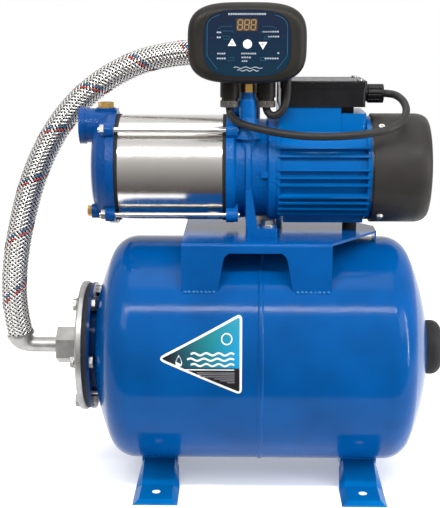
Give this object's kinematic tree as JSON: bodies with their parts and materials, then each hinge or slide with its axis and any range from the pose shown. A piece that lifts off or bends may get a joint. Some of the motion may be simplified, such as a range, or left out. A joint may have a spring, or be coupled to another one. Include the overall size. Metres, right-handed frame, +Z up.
{
  "type": "centrifugal water pump",
  "caption": "Horizontal multistage centrifugal pump on a pressure tank, with finned motor, fan cover, digital pressure controller and braided hose.",
  "frame": {"origin": "centre of the four foot bolt holes, on the floor", "axes": "+X from the hose end towards the fan cover, +Y to the back (away from the control panel), +Z up"},
  "size_m": [0.5434, 0.4418, 0.5744],
  "materials": {
    "blue_paint": "gloss enamel",
    "zinc": "zinc plated",
    "stainless": "polished",
    "steel": "machined",
    "brass": "machined",
    "copper": "varnished wire",
    "rubber": "matte",
    "black_plastic": "satin",
    "charcoal_plastic": "fine texture",
    "panel_film": "gloss",
    "display_window": "gloss",
    "white_plastic": "satin",
    "wet_plastic": "moulded",
    "ceramic": "lapped",
    "board": "lacquered",
    "braid": "woven wire",
    "cable_jacket": "satin",
    "sticker_film": "gloss"
  },
  "bodies": {
    "frame": {"tank_shell_left": "blue_paint", "tank_shell_right": "blue_paint", "tank_neck_ring": "blue_paint", "foot_left": "blue_paint", "foot_right": "blue_paint", "pump_bridge": "blue_paint", "suction_casing": "blue_paint", "motor_bracket": "blue_paint", "motor_housing": "blue_paint", "tank_flange": "zinc", "flange_bolts": "zinc", "bracket_bolts": "zinc", "hose_elbows": "zinc", "union_nuts": "zinc", "tie_rods": "zinc", "cover_screws": "zinc", "pump_sleeve": "stainless", "bearings": "steel", "stator_core": "steel", "rear_shield": "steel", "drain_plug": "brass", "air_valve_body": "brass", "pressure_nipple": "brass", "stator_windings": "copper", "bladder": "rubber", "sleeve_gaskets": "rubber", "motor_foot": "rubber", "fan_cover": "black_plastic", "terminal_box": "black_plastic", "terminal_lid": "black_plastic", "motor_gland": "black_plastic", "controller_gland_nuts": "black_plastic", "mains_plug": "black_plastic", "controller_case": "charcoal_plastic", "controller_cover": "charcoal_plastic", "controller_panel": "panel_film", "controller_display": "display_window", "terminal_block": "white_plastic", "run_capacitor": "white_plastic", "stage_diffusers": "wet_plastic", "seal_seat": "ceramic", "controller_board": "board", "braided_hose": "braid", "motor_cable": "cable_jacket", "mains_cable": "cable_jacket", "mains_coil": "cable_jacket", "tank_sticker": "sticker_film"},
    "rotor": {"pump_shaft": "steel", "impellers": "wet_plastic", "impeller_spacers": "steel", "impeller_nut": "steel", "seal_head": "ceramic", "rotor_core": "steel", "cooling_fan": "black_plastic"},
    "up_key": {"button_up": "white_plastic"},
    "set_key": {"button_set": "white_plastic"},
    "down_key": {"button_down": "white_plastic"},
    "valve_pin": {"air_valve_pin": "brass"},
    "valve_cap": {"air_valve_cap": "black_plastic"},
    "filler_plug": {"priming_plug": "brass"}
  },
  "joints": [
    {"name": "rotor_spin", "type": "hinge", "parent": "frame", "child": "rotor", "pos_m": [0, 0, 0.3804], "axis": [1, 0, 0], "continuous": true},
    {"name": "up_key_press", "type": "slide", "parent": "frame", "child": "up_key", "axis": [0, 1, 0], "range_m": [0, 0.0006], "stiffness_N_per_m": 900, "springref_m": -0.0006},
    {"name": "set_key_press", "type": "slide", "parent": "frame", "child": "set_key", "axis": [0, 1, 0], "range_m": [0, 0.0006], "stiffness_N_per_m": 900, "springref_m": -0.0006},
    {"name": "down_key_press", "type": "slide", "parent": "frame", "child": "down_key", "axis": [0, 1, 0], "range_m": [0, 0.0006], "stiffness_N_per_m": 900, "springref_m": -0.0006},
    {"name": "valve_pin_press", "type": "slide", "parent": "frame", "child": "valve_pin", "axis": [-1, 0, 0], "range_m": [0, 0.0012], "stiffness_N_per_m": 600, "springref_m": -0.0006},
    {"name": "valve_cap_off", "type": "slide", "parent": "frame", "child": "valve_cap", "axis": [1, 0, 0], "range_m": [0, 0.04]},
    {"name": "filler_plug_out", "type": "slide", "parent": "frame", "child": "filler_plug", "axis": [0, 0, 1], "range_m": [0, 0.03]}
  ]
}
